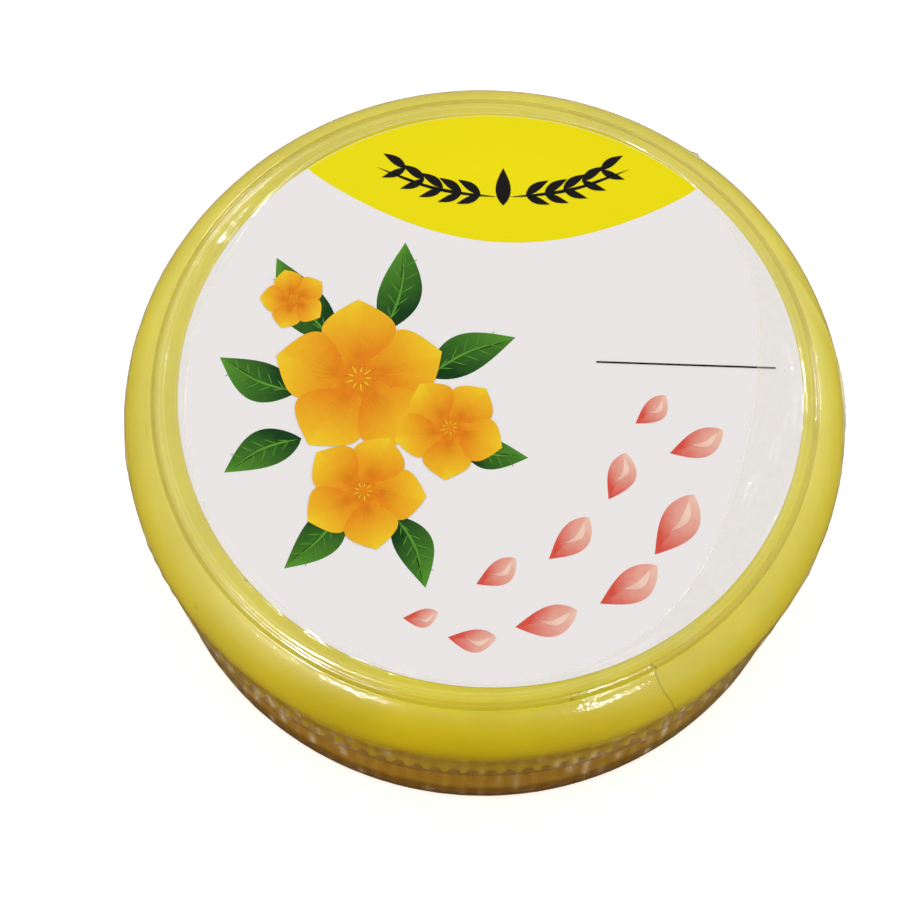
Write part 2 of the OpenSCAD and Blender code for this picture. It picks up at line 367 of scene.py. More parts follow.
def new_group(name, inputs, outputs):
    """An empty shader node group; returns it, its input sockets and its output node."""
    group = bpy.data.node_groups.new(name, "ShaderNodeTree")
    for label, kind, default in inputs:
        s = group.interface.new_socket(label, in_out="INPUT", socket_type="NodeSocket" + kind)
        if default is not None:
            s.default_value = default
    for label, kind in outputs:
        group.interface.new_socket(label, in_out="OUTPUT", socket_type="NodeSocket" + kind)
    given, made = group.nodes.new("NodeGroupInput"), group.nodes.new("NodeGroupOutput")
    return group, given.outputs, made


def use_group(tree, name, values):
    """Places a shared node group in a material."""
    node = add_node(tree, "Group", node_tree=bpy.data.node_groups[name])
    socket_set(node, values)
    return node


def moulded_surface_group():
    """Colour drift, gloss drift and fine grain of moulded plastic."""
    group, at, made = new_group(
        "Moulded surface",
        [("Vector", "Vector", None), ("Light", "Color", None), ("Deep", "Color", None),
         ("Drift size", "Float", 90.0), ("Grain size", "Float", 2600.0),
         ("Grain height", "Float", 0.12), ("Roughness", "Float", 0.3)],
        [("Color", "Color"), ("Roughness", "Float"), ("Normal", "Vector")])
    drift = cloud(group, at["Vector"], at["Drift size"], 3.0, Roughness=0.55)
    grain = cloud(group, at["Vector"], at["Grain size"], 2.0)
    share = ramp(group, drift, [(0.32, 0.0), (0.68, 1.0)])
    socket_set(made, {"Color": mix_colour(group, share, at["Light"], at["Deep"]),
                      "Roughness": times_plus(group, drift, 0.16, at["Roughness"]),
                      "Normal": bumps(group, grain, 0.00006, at["Grain height"])})


def handling_marks_group():
    """Dust specks and faint rubbed patches left by handling."""
    group, at, made = new_group(
        "Handling marks",
        [("Vector", "Vector", None), ("Speck size", "Float", 520.0),
         ("Speck amount", "Float", 0.06), ("Rub size", "Float", 160.0)],
        [("Specks", "Float"), ("Rubs", "Float")])
    cells = add_node(group, "TexVoronoi", {"Vector": at["Vector"], "Scale": at["Speck size"]})
    pick = add_node(group, "TexWhiteNoise", {"Vector": cells.outputs["Position"]})
    chosen = maths(group, "LESS_THAN", pick.outputs[0], at["Speck amount"])
    dot = ramp(group, cells.outputs["Distance"], [(0.05, 1.0), (0.13, 0.0)])
    rubs = cloud(group, at["Vector"], at["Rub size"], 6.0, Roughness=0.7, Distortion=0.6)
    socket_set(made, {"Specks": times(group, chosen, dot),
                      "Rubs": ramp(group, rubs, [(0.52, 0.0), (0.72, 1.0)])})


def foam_cells_group():
    """Open cells of foam: a mask of the pores, which darkens them as painted shade, and the
    normal that they give.
    """
    group, at, made = new_group(
        "Foam cells",
        [("Vector", "Vector", None), ("Cell size", "Float", 1500.0), ("Depth", "Float", 0.6)],
        [("Pore shade", "Float"), ("Normal", "Vector")])
    cells = add_node(group, "TexVoronoi", {"Vector": at["Vector"], "Scale": at["Cell size"],
                                           "Randomness": 1.0}, feature="SMOOTH_F1")
    pores = ramp(group, cells.outputs["Distance"], [(0.12, 1.0), (0.5, 0.0)])
    height = maths(group, "SUBTRACT", cloud(group, at["Vector"], 420.0, 5.0), pores)
    socket_set(made, {"Pore shade": pores, "Normal": bumps(group, height, 0.0004, at["Depth"])})


def new_material(name):
    """An empty node material; returns it, its tree, its Principled shader and the place."""
    material = bpy.data.materials.new(name)
    material.use_nodes = True
    tree = material.node_tree
    where = add_node(tree, "TexCoord")
    place = add_node(tree, "Mapping", {"Vector": where.outputs["Object"]}).outputs[0]
    return material, tree, tree.nodes["Principled BSDF"], place


def shade(colour_value, factor):
    """A colour made darker or lighter."""
    return tuple(min(1.0, c * factor) for c in colour_value)


def moulded_plastic(name, base, roughness, glow, grain):
    """Gloss plastic that lets a little light in."""
    material, tree, shader, place = new_material(name)
    surface = use_group(tree, "Moulded surface", {
        "Vector": place, "Light": shade(base, 1.05), "Deep": shade(base, 0.9),
        "Grain height": grain, "Roughness": roughness - 0.08}).outputs
    marks = use_group(tree, "Handling marks", {"Vector": place}).outputs
    tone = mix_colour(tree, times(tree, marks["Rubs"], 0.10), surface["Color"],
                      shade(base, 1.25))
    tone = mix_colour(tree, times(tree, marks["Specks"], 0.6), tone, shade(base, 0.25))
    socket_set(shader, {"Base Color": tone, "Roughness": surface["Roughness"],
                        "Normal": surface["Normal"], "IOR": 1.5, "Specular IOR Level": 0.2,
                        "Subsurface Weight": glow, "Subsurface Radius": (1.0, 0.75, 0.2),
                        "Subsurface Scale": 0.0015})
    return material


def foam_material(name, base, cell_size, depth, damp):
    """Open-cell foam, a little glossy where it is damp."""
    material, tree, shader, place = new_material(name)
    cells = use_group(tree, "Foam cells", {"Vector": place, "Cell size": cell_size,
                                           "Depth": depth}).outputs
    patches = cloud(tree, place, 120.0, 4.0)
    tone = mix_colour(tree, patches, shade(base, 1.0), shade(base, 0.82))
    # Painted shade: the foam is darker in its pores.
    tone = mix_colour(tree, times(tree, cells["Pore shade"], 0.55), tone, shade(base, 0.45))
    socket_set(shader, {"Base Color": tone,
                        "Roughness": times_plus(tree, patches, 0.3, 0.85 - damp),
                        "Normal": cells["Normal"], "Subsurface Weight": 0.15,
                        "Subsurface Radius": (1.0, 0.8, 0.4), "Subsurface Scale": 0.001,
                        "Sheen Weight": 0.1})
    return material


def paper_material(name, base, deep=None):
    """Coated paper; with a second colour, print that deepens by the piece's tone attribute."""
    material, tree, shader, place = new_material(name)
    fibres = cloud(tree, place, 1400.0, 5.0)
    clouds = cloud(tree, place, 55.0, 2.0)
    if deep is None:
        tone = mix_colour(tree, times(tree, clouds, 0.5), base, shade(base, 0.97))
    else:
        drawn = maths(tree, "SUBTRACT", painted(tree, "tone"), 0.125)
        drawn = maths(tree, "MULTIPLY_ADD", fibres, 0.25, drawn, clamp=True)
        tone = mix_colour(tree, drawn, deep, base)
    marks = use_group(tree, "Handling marks", {"Vector": place, "Speck size": 260.0,
                                               "Speck amount": 0.012})
    tone = mix_colour(tree, times(tree, marks.outputs["Specks"], 0.5), tone, shade(base, 0.6))
    socket_set(shader, {"Base Color": tone, "Roughness": times_plus(tree, clouds, 0.12, 0.42),
                        "Normal": bumps(tree, fibres, 0.00002, 0.15),
                        "Specular IOR Level": 0.08})
    return material


def film_material(roughness):
    """Clear shrink film: its reflection shows, with a haze that also carries painted reflection
    and painted glints, and a tint that darkens it edge-on and where shade is painted.
    """
    material, tree, shader, place = new_material("clear film")
    # The dark brown tint serves as painted shade on the film and as the seam's dark line.
    white, shade_and_seam_tint, index = (1.0, 1.0, 1.0), (0.30, 0.22, 0.12), 1.5
    waves = cloud(tree, place, 420.0, 3.0, Distortion=0.4)
    scuffs = cloud(tree, place, 900.0, 6.0)
    grain = cloud(tree, place, 2600.0, 2.0)
    normal = bumps(tree, times_plus(tree, grain, 0.3, waves), 0.0001, 0.7)
    seen = add_node(tree, "LightPath").outputs["Is Camera Ray"]
    # Pale veil from the haze attribute: the film's own haze, partly painted reflection of the
    # surround and painted glints; only the camera sees it.
    haze = times(tree, painted(tree, "haze_and_reflection"), ramp(tree, scuffs, [(0.35, 0.55), (0.7, 0.75)]))
    socket_set(shader, {"Base Color": (0.94, 0.89, 0.72), "Roughness": 0.6, "Normal": normal,
                        "IOR": index})
    edge_on = add_node(tree, "LayerWeight", {"Blend": 0.5})
    # Edge-on the film lets through darker, browner light: painted shade for the dark surround
    # that it reflects there.
    tint = ramp(tree, edge_on.outputs["Facing"], [
        (0.8, (0.99, 0.99, 0.985)), (0.93, (0.84, 0.78, 0.64)), (1.0, (0.45, 0.38, 0.24))])
    # Painted shade: the film turns darker and browner where its shade attribute is set.
    tint = mix_colour(tree, painted(tree, "painted_shade"), tint, shade_and_seam_tint)
    sealed = ramp(tree, painted(tree, "seam"), [(0.93, 0.0), (0.98, 0.22)])
    tint = mix_colour(tree, sealed, tint, shade_and_seam_tint)
    clear = add_node(tree, "BsdfTransparent", {"Color": mix_colour(tree, seen, white, tint)})
    gloss = add_node(tree, "BsdfGlossy", {
        "Color": white, "Roughness": times_plus(tree, scuffs, 0.06, roughness),
        "Normal": normal})
    facing = add_node(tree, "Fresnel", {"IOR": index, "Normal": normal})
    side = add_node(tree, "NewGeometry")
    outer = maths(tree, "SUBTRACT", seen, side.outputs["Backfacing"], clamp=True)
    skin = add_node(tree, "MixShader", {0: times(tree, facing.outputs[0], outer),
                                        1: clear.outputs[0], 2: gloss.outputs[0]})
    whole = add_node(tree, "MixShader", {0: times(tree, haze, seen), 1: skin.outputs[0],
                                         2: shader.outputs[0]})
    socket_set(tree.nodes["Material Output"], {"Surface": whole.outputs[0]})
    return material


def material_for(key):
    """Builds a finish the first time that it is asked for."""
    c = bpy.context.scene.jar_colours
    recipes = {
        "lid": lambda: moulded_plastic("lid plastic", c.lid, 0.48, 0.12, 0.10),
        "jar": lambda: moulded_plastic("jar plastic", c.jar, 0.46, 0.10, 0.14),
        "seal": lambda: moulded_plastic("seal plastic", c.seal, 0.42, 0.25, 0.10),
        "sponge": lambda: foam_material("damp foam", c.sponge, 1300.0, 0.8, 0.25),
        "liner": lambda: foam_material("liner foam", c.liner, 2600.0, 0.35, 0.1),
        "paper": lambda: paper_material("label paper", c.paper),
        "cap": lambda: paper_material("cap print", c.cap, shade(c.cap, 0.93)),
        "petal": lambda: paper_material("blossom print", c.petal, c.petal_deep),
        "leaf": lambda: paper_material("leaf print", c.leaf, c.leaf_deep),
        "drop": lambda: paper_material("drop print", c.drop, c.drop_deep),
        "dark": lambda: paper_material("dark print", c.dark, shade(c.dark, 0.7)),
        "film": lambda: film_material(bpy.context.scene.jar_film.roughness),
    }
    known = bpy.data.materials.get("finish " + key)
    if known is None:
        known = recipes[key]()
        known.name = "finish " + key
    return known


# Pieces


class JAR_OT_body(bpy.types.Operator):
    """Model the ribbed jar with its threaded neck"""
    bl_idname = "jar.body"
    bl_label = "Jar Body"

    def execute(self, context):
        s = in_mm(context.scene.jar_sizes)
        wall, ledge, ring = s.jar_radius, s.ledge, s.jar_radius - s.heel
        panel_z, step, panel, foot = 0.8, 0.3, 22, 2
        gate, gate_z, dimple = 0.9, 0.5, 2.5
        points = outline(
            (0, gate_z), (gate, gate_z, 0.12), (gate, panel_z + 2 * step),
            (dimple, panel_z + 2 * step, 0.15), (dimple, panel_z + step),
            (panel, panel_z + step, 0.1), (panel, panel_z), (ring - foot, panel_z, 0.25),
            (ring - foot, 0, 0.25), (ring - 0.1, 0))
        points += arc((ring, s.heel), s.heel, -90, 0, 8)
        points += [(wall, z) for z in (s.heel + 0.6, 4, 6, 8, 10, ledge - 0.9)]
        points += outline((wall, ledge - 1), (wall, ledge, 0.35), (s.neck, ledge, 0.3),
                          (s.neck, RIM_Z, 0.25), (s.mouth, RIM_Z, 0.25),
                          (s.mouth, ledge, 0.4), (s.cavity, ledge - 1.4, 0.5),
                          (s.cavity, s.floor, 2), (20, s.floor), (0, s.floor))
        bm = turned(points, s.ribs * 8)
        for v in bm.verts:
            angle, r, z = polar(v)
            if r > s.neck + 0.9 and z < ledge + 0.01:
                rib = wall - s.rib_depth + s.rib_depth * rib_share(angle, s.ribs)
                set_radius(v, min(r, rib))
        add_threads(bm, s.neck, 1, RIM_Z - 3 - 5)
        finished(bm, "jar_shell", "jar", "jar", ["jar_body"])
        return {"FINISHED"}


def add_threads(target, wall, side, height):
    """Adds both starts of the thread, with their ends running out into the wall."""
    sink, depth, foot, tip, lead, sweep, steps = 0.3, 0.9, 0.6, 0.3, 6.0, 300.0, 150
    slope = (foot - tip) / depth
    base, top = wall - side * sink, wall + side * depth
    section = [(base, -foot - slope * sink), (top - side * 0.12, -tip - 0.1),
               (top, -tip + 0.06), (top, tip - 0.06),
               (top - side * 0.12, tip + 0.1), (base, foot + slope * sink)]
    for start in (0, 180):
        bm = bmesh.new()
        face = bm.faces.new([bm.verts.new((r * MM, 0, (height + z) * MM))
                             for r, z in section])
        bmesh.ops.spin(bm, geom=[face], cent=(0, 0, 0), axis=(0, 0, 1),
                       dvec=(0, 0, lead * MM * sweep / 360 / steps), angle=math.radians(sweep),
                       steps=steps, use_merge=False, use_duplicate=False)
        for v in bm.verts:
            angle, r, _ = polar(v)
            along = (math.degrees(angle) + 2) % 360 - 2
            share = min(1.0, max(0.0, along / 30), max(0.0, (sweep - along) / 30))
            set_radius(v, base + (r - base) * (0.12 + 0.88 * share))
        bmesh.ops.rotate(bm, cent=(0, 0, 0), verts=bm.verts,
                         matrix=Matrix.Rotation(math.radians(start), 3, "Z"))
        rolled = bpy.data.meshes.new("thread")
        bm.to_mesh(rolled)
        bm.free()
        target.from_mesh(rolled)
        bpy.data.meshes.remove(rolled)


class JAR_OT_sponge(bpy.types.Operator):
    """Model the soaked sponge with its finger well"""
    bl_idname = "jar.sponge"
    bl_label = "Sponge"

    def execute(self, context):
        s = in_mm(context.scene.jar_sizes)
        wide, bottom, top = SPONGE_R, SPONGE_Z, SPONGE_TOP_Z
        well, slim, well_floor = s.well, s.mouth - 0.3, 5.1
        points = outline((0, bottom), (12, bottom), (22, bottom), (wide, bottom, 2),
                         (wide, 5.4), (wide, 7.2), (wide, 9.9, 0.5), (slim, 11.3, 0.5),
                         (slim, 13.2), (slim, top, 1.6), (slim - 2.5, top))
        points += [(slim - 2.5 - k * (slim - 5 - well) / 16, top) for k in range(1, 16)]
        points += outline((well + 3, top), (well, top, 1.5), (well, 12.4), (well, 10.4),
                          (well, 8.4), (well, well_floor, 1), (3.5, well_floor),
                          (0, well_floor))
        bm = turned(points, 320)
        for v in bm.verts:
            _, r, z = polar(v)
            lump = noise.noise(v.co * 160) * 0.14 + noise.noise(v.co * 700) * 0.12
            sag = 0.25 * smooth(well + 1, 20, r) * smooth(slim, 22, r)
            if z > top - 0.3 and r > well + 0.2:
                v.co.z += (lump - 0.32 + sag) * MM
            elif r > slim - 1:
                set_radius(v, r - 0.16 - lump * 0.5)
            elif r < well + 1.2 and z > 4.5:
                set_radius(v, r + lump * 0.8)
        pad = finished(bm, "sponge_pad", "jar", "sponge", ["sponge"], sharp=70)
        return {"FINISHED"}


class JAR_OT_seal_and_liner(bpy.types.Operator):
    """Model the inner seal with its lift tab, and the liner in the lid"""
    bl_idname = "jar.seal_and_liner"
    bl_label = "Seal and Liner"

    def execute(self, context):
        plug, low, top, web, flange = 28.65, SEAL_Z, SEAL_TOP_Z, 0.8, 0.6
        bm = turned(outline((0, low), (14, low), (plug, low, 0.4), (plug, top - flange, 0.1),
                            (SEAL_R, top - flange, 0.15), (SEAL_R, top, 0.2),
                            (plug - 1, top, 0.25), (plug - 1, low + web, 0.5),
                            (14, low + web), (0, low + web)), 384)
        self.add_tab(bm, plug - 1, top - 0.3)
        finished(bm, "seal_disc", "seal", "seal", ["inner_seal"])

        edge, low, top, groove = LINER_R, LINER_Z, LINER_TOP_Z, 28.6
        bm = turned(outline((0, low), (15, low), (24, low), (groove, low), (edge, low, 0.2),
                            (edge, top, 0.12), (15, top), (0, top)), 384)
        for v in bm.verts:
            _, r, z = polar(v)
            if z < low + 0.3:
                v.co.z += (0.05 * bump_at(r, groove, 0.8) + 0.01) * MM
        finished(bm, "liner_wad", "liner", "liner", ["lid_liner"])
        return {"FINISHED"}

    def add_tab(self, bm, wall, top):
        """The tongue with a round end, its bevelled edges and its grip bars."""
        length, width, thick, bar, soften = 14.0, 11.0, 0.7, 0.3, 0.12
        middle = wall - length + width / 2
        plan = arc((middle, 0), width / 2, 90, 270, 24)
        plan = [(wall + 0.5, width / 2)] + plan + [(wall + 0.5, -width / 2)]
        low = top - bar - thick
        face = bm.faces.new([bm.verts.new((x * MM, y * MM, low * MM)) for x, y in plan])
        made = bmesh.ops.extrude_face_region(bm, geom=[face])["geom"]
        bmesh.ops.translate(bm, verts=only_verts(made), vec=(0, 0, thick * MM))
        rim = [e for e in made if isinstance(e, bmesh.types.BMEdge)]
        self.bevel(bm, rim, soften)
        for k in range(3):
            x = wall - length + 2.4 + 1.6 * k + 0.35
            tall = bar + thick / 2
            cube = bmesh.ops.create_cube(bm, size=MM)["verts"]
            bmesh.ops.scale(bm, verts=cube, vec=(0.7, width * 0.6, tall))
            bmesh.ops.translate(bm, verts=cube, vec=(x * MM, 0, (top - tall / 2) * MM))
            edges = list({e for v in cube for e in v.link_edges
                          if all(w.co.z > (top - 0.01) * MM for w in e.verts)})
            self.bevel(bm, edges, soften)

    def bevel(self, bm, edges, offset):
        """Rounds the given edges."""
        bmesh.ops.bevel(bm, geom=edges, offset=offset * MM, affect="EDGES", segments=3,
                        profile=0.5, material=-1)


class JAR_OT_lid(bpy.types.Operator):
    """Model the screw lid with its rolled shoulder and ribbed skirt"""
    bl_idname = "jar.lid"
    bl_label = "Screw Lid"

    def execute(self, context):
        s = in_mm(context.scene.jar_sizes)
        top, edge, under = LID_TOP_Z, LID_EDGE_Z, LID_TOP_Z - s.lid_top
        centre_r, centre_z = s.lid_radius - s.shoulder, top - s.shoulder_down
        field, tip = s.lid_radius - s.field_inset, s.skirt_root + s.rib_depth
        skirt_top, bore = 17.6, s.bore
        points = [(r, top) for r in (0, 10, 20, 26, 29, 29.9, field - 0.15)]
        points += [(field - 0.03, top - 0.02)]
        points += arc((field + s.groove, top - s.groove / 2), s.groove, 160, 335, 12)
        points += arc((centre_r, centre_z), s.shoulder, 58.5, -30, 30)
        points += [(tip, z) for z in (17.5, 17.35, 17.2, 17.05, 16.9, 16.4, 15.5, 14.5, 13.5,
                                      12.9, edge + 0.45)]
        points += outline((tip, edge + 0.42), (tip, edge, 0.25), (bore, edge, 0.2),
                          (bore, 15), (bore, 19), (bore, under, 1.2), (20, under), (0, under))
        bm = turned(points, s.ribs * 8)
        for v in bm.verts:
            angle, r, z = polar(v)
            if r < bore + 0.6 or z > skirt_top:
                continue
            across = s.shoulder ** 2 - (z - centre_z) ** 2
            shoulder = centre_r + math.sqrt(across) if across > 0 else 0
            rib = s.skirt_root + s.rib_depth * rib_share(angle, s.ribs)
            set_radius(v, max(shoulder, min(r, rib)))
        add_threads(bm, bore, -1, RIM_Z - 9)
        finished(bm, "lid_cap", "lid", "lid", ["lid_shell"])
        return {"FINISHED"}


class Print:
    """Collects flat printed shapes of one ink, in label units of its radius."""
    FIRST, LAYER, THICK, STACK = 0.002, 0.022, 0.003, 0.0002

    def __init__(self, ink, level):
        self.bm = bmesh.new()
        self.tone = self.bm.verts.layers.float.new("tone")
        self.ink, self.low = ink, LABEL_TOP_Z + self.FIRST + self.LAYER * level

    def shape(self, centre, rim, inner=0.0, outer=1.0):
        """A fan from its centre to its rim; outer is one tone, or one for each rim point."""
        def put(p, tone):
            place = LABEL_X + p[0] * LABEL_R, p[1] * LABEL_R, self.low
            v = self.bm.verts.new([c * MM for c in place])
            v[self.tone] = tone
            return v
        hub = put(centre, inner)
        tones = outer if hasattr(outer, "__len__") else [outer] * len(rim)
        ring = [put(p, tone) for p, tone in zip(rim, tones)]
        faces = [self.bm.faces.new((hub, a, b)) for a, b in zip(ring, ring[1:] + ring[:1])]
        made = bmesh.ops.extrude_face_region(self.bm, geom=faces)["geom"]
        bmesh.ops.translate(self.bm, verts=only_verts(made), vec=(0, 0, self.THICK * MM))
        self.low += self.STACK

    def drop(self, root, tip, width, lean=0.0, tones=(0.0, 1.0), shaded=0.0, full=0.8):
        """A petal, leaf or drop from its root to its tip, as wide as width at its middle."""
        root, tip, steps = Vector(root), Vector(tip), 20
        along = tip - root
        side = Vector((-along.y, along.x)).normalized()
        rise = tones[1] - tones[0]
        rim, levels = [], []
        for k in range(2 * steps):
            t = k / steps if k <= steps else 2 - k / steps
            way = 1 if k <= steps else -1
            half = width / 2 * math.sin(math.pi * t ** full) * way
            rim.append(root + along * t + side * (half + lean * math.sin(math.pi * t)))
            levels.append(tones[0] + rise * t - shaded * (way < 0))
        self.shape(root + along * 0.45 + side * lean, rim, tones[0] + rise * 0.35, levels)

    def dot(self, x, y, r, tone, edge):
        """A small round dot."""
        self.shape((x, y), arc((x, y), r, 0, 342, 19), tone, edge)

    def done(self, name):
        """Makes the print a piece on the lid."""
        finished(self.bm, name, "lid", self.ink, sharp=80)


# Leaves: root, tip, width and lean. Blossoms: place, reach and turn. Falling petals: place,
# length, width and turn.
LEAVES = (
    ((-0.50, 0.16), (-0.70, 0.46), 0.15, 0.02), ((-0.34, 0.20), (-0.28, 0.52), 0.14, -0.02),
    ((-0.62, -0.02), (-0.87, 0.10), 0.14, 0.02), ((-0.60, -0.18), (-0.84, -0.30), 0.13, -0.02),
    ((-0.20, 0.04), (0.08, 0.18), 0.14, 0.02), ((-0.10, -0.18), (0.12, -0.24), 0.11, -0.02),
    ((-0.46, -0.40), (-0.64, -0.62), 0.13, 0.02), ((-0.30, -0.44), (-0.20, -0.68), 0.12, 0.02))
BLOSSOMS = ((-0.42, 0.03, 0.28, 20), (-0.13, -0.14, 0.18, 50), (-0.40, -0.36, 0.20, -5),
            (-0.64, 0.31, 0.11, 35))
FALLING = (
    (0.74, -0.14, 0.19, 0.095, 205), (0.56, -0.02, 0.14, 0.075, 225),
    (0.64, -0.36, 0.24, 0.12, 238), (0.43, -0.22, 0.17, 0.09, 250),
    (0.52, -0.60, 0.22, 0.11, 215), (0.31, -0.44, 0.19, 0.095, 228),
    (0.27, -0.75, 0.20, 0.10, 196), (0.08, -0.58, 0.15, 0.08, 215),
    (0.02, -0.84, 0.15, 0.075, 180), (-0.16, -0.76, 0.11, 0.06, 190))


def heading(angle):
    """A step of length 1 on the label at an angle in radians."""
    return Vector((math.cos(angle), math.sin(angle)))


class JAR_OT_label(bpy.types.Operator):
    """Model the paper label and its plain printed design"""
    bl_idname = "jar.label"
    bl_label = "Label"

    def execute(self, context):
        low, high, r = LABEL_Z + 0.01, LABEL_TOP_Z, LABEL_R
        bm = turned(outline((0, low), (15, low), (r, low), (r, high, 0.03), (20, high),
                            (10, high), (0, high)), 480)
        bmesh.ops.translate(bm, verts=bm.verts, vec=(LABEL_X * MM, 0, 0))
        finished(bm, "label_sheet", "lid", "paper", ["label_disc"])
        self.cap_and_rules()
        self.leaves()
        self.blossoms()
        self.drops()
        return {"FINISHED"}

    def cap_and_rules(self):
        """The yellow cap, the plain ornament on it and a thin rule."""
        cap = Print("cap", 0)
        left, right, rim_r = Vector((-0.609, 0.793)), Vector((0.682, 0.731)), 0.9985
        first, last = math.atan2(right.y, right.x), math.atan2(left.y, left.x)
        rim = [heading(first + (last - first) * k / 48) * rim_r for k in range(49)]
        rim += [left * (1 - t) + right * t
                - Vector((0.004, 0.238)) * math.sin(math.pi * t) ** 0.86
                for t in [k / 60 for k in range(1, 60)]]
        cap.shape((0.04, 0.8), rim, 1.0, 0.4)
        cap.done("label_cap_print")
        dark, x0 = Print("dark", 1), 0.04
        for side in (-1, 1):
            for k in range(5):
                x, y = x0 + side * (0.075 + 0.062 * k), 0.70 + 0.006 * k * k
                dark.drop((x, y), (x + side * 0.075, y + 0.055), 0.030, 0.004 * side)
                dark.drop((x, y), (x + side * 0.080, y - 0.035), 0.026, -0.004 * side)
            dark.drop((x0 + side * 0.02, 0.692), (x0 + side * 0.42, 0.80), 0.012,
                      -0.025 * side)
        dark.drop((x0, 0.66), (x0, 0.80), 0.05)
        dark.shape((0.63, 0.088), [(0.34, 0.0985), (0.34, 0.0925), (0.915, 0.0765),
                                   (0.915, 0.0825)])
        dark.done("label_dark_print")

    def leaves(self):
        """Leaves along the bent stem at the left, with their veins."""
        leaf, vein = Print("leaf", 0), Print("leaf", 1)
        for root, tip, width, lean in LEAVES:
            leaf.drop(root, tip, width, lean, (0.0, 0.9), 0.3)
            a, b = Vector(root), Vector(tip)
            vein.drop(a.lerp(b, 0.03), a.lerp(b, 0.9), 0.008, lean, (0.9, 1.3))
            side = Vector((a.y - b.y, b.x - a.x)).normalized()
            for k in range(1, 6):
                swell = math.sin(math.pi * k / 7)
                mid = a.lerp(b, k / 7) + side * lean * swell
                for way in (-1, 1):
                    end = mid + (b - a) * 0.13 + side * way * width * 0.34 * swell
                    vein.drop(mid, end, 0.004, 0, (0.7, 1.1))
        leaf.done("label_leaf_print")
        vein.done("label_vein_print")

    def blossoms(self):
        """Five-petalled blossoms with strokes on their petals and a dotted heart."""
        petal, stroke, core = Print("petal", 2), Print("petal", 3), Print("petal", 4)
        for x, y, reach, turn in BLOSSOMS:
            heart = Vector((x, y))
            petal.dot(x, y, reach * 0.36, -0.3, 0.3)
            for k in range(5):
                a = math.radians(turn + 72 * k)
                way = heading(a)
                petal.drop(heart + way * reach * 0.08, heart + way * reach, reach * 0.86,
                           0.0, (-0.1, 1.0), 0.22, 1.25)
                for lean in (-1, -0.5, 0, 0.5, 1):
                    end = heading(a + lean * 0.26) * reach * (0.62 - 0.1 * abs(lean))
                    stroke.drop(heart + way * reach * 0.12, heart + end, reach * 0.022, 0.0,
                                (-0.3, 0.55))
            for k in range(9):
                end = heart + heading(TAU * k / 9) * reach * (0.17 + 0.03 * (k % 2))
                stroke.drop(heart, end, reach * 0.02, 0.0, (0.9, 1.1))
                core.dot(*end, reach * 0.028, -0.4, -0.1)
            core.dot(x, y, reach * 0.075, 0.1, -0.3)
        petal.done("label_petal_print")
        stroke.done("label_stroke_print")
        core.done("label_core_print")

    def drops(self):
        """Falling petals in a bow at the lower right."""
        drop, shine = Print("drop", 0), Print("drop", 1)
        for x, y, length, width, turn in FALLING:
            start, way = Vector((x, y)), heading(math.radians(turn)) * length
            drop.drop(start, start + way, width, 0.012, (0.9, -0.1), 0.25, 0.8)
            shine.drop(start + way * 0.12, start + way * 0.62, width * 0.22, 0.02, (1.2, 0.6))
        drop.done("label_drop_print")
        shine.done("label_shine_print")


# Ridges of the film along the label's edge: radius, angle and half length in degrees, width
# and height in mm.
FOLDS = (
    (29.0, -5, 5.0, 0.45, 0.36), (28.1, -7, 2.0, 0.26, 0.2), (28.3, 6, 3.5, 0.26, 0.19),
    (27.2, -13, 3, 0.28, 0.21), (26.3, -23, 4, 0.28, 0.2), (26.5, -43, 3, 0.26, 0.18),
    (28.9, -66, 8, 0.24, 0.19), (28.35, -121.5, 3.2, 0.5, 0.35), (28.95, -119, 3, 0.35, 0.12),
    (28.6, -131, 2, 0.3, 0.2), (28.7, -137.5, 3, 0.26, 0.17), (28.6, -112, 3, 0.24, 0.15),
    (28.9, -104, 3, 0.22, 0.17), (29.0, 146, 6, 0.45, 0.2), (28.2, 143, 5, 0.2, 0.07),
    (27.8, 149, 4, 0.14, 0.055), (27.5, 145, 5, 0.14, 0.05), (28.6, 147, 5, 0.14, 0.055),
    (28.5, 153, 3, 0.2, 0.07))
# The hole's mean radius, then the cosine and sine parts of each harmonic, and one dent.
HOLE_MEAN, HOLE_WAVES = 27.91, ((-0.92, 0.69), (-1.24, 0.53), (-0.42, 0.37), (-0.28, 0.29))
HOLE_DENT, DENT_ANGLE, DENT_WIDTH = 0.6, 147, 15
# Painted glints on the film over the ribs round the jar: angle, width in degrees, share on top
# of the mean.
GLINT_MEAN, GLINT_SHARES = 0.24, ((-56, 18, 0.54), (-91, 13, -0.14), (-122, 16, 0.42))
SEAM, FRONT, NIB, CREASE = -60.75, -98, 52.5, 24
# The lid's film by rows: its last row on the label, on the flat field, round the shoulder
# and down the skirt. The flat rows end at the radius LIP.
ON_LABEL, FLAT, ROUND, LAST, LIP = 30, 54, 80, 96, 31.3


def hole_edge(angle):
    """Radius of the film's uneven hole over the label, in mm."""
    r = HOLE_MEAN - HOLE_DENT * bump_toward(math.degrees(angle), DENT_ANGLE, DENT_WIDTH)
    for k, (c, s) in enumerate(HOLE_WAVES, 1):
        r += c * math.cos(k * angle) + s * math.sin(k * angle)
    return r + 0.12 * noise.noise(Vector((math.cos(angle) * 5, math.sin(angle) * 5, 7)))


def seam_drift(row):
    """Degrees by which the film's seam strays from a straight line."""
    return 2.2 * smooth(62, 86, row) + 0.25 * math.sin(row * 0.3)


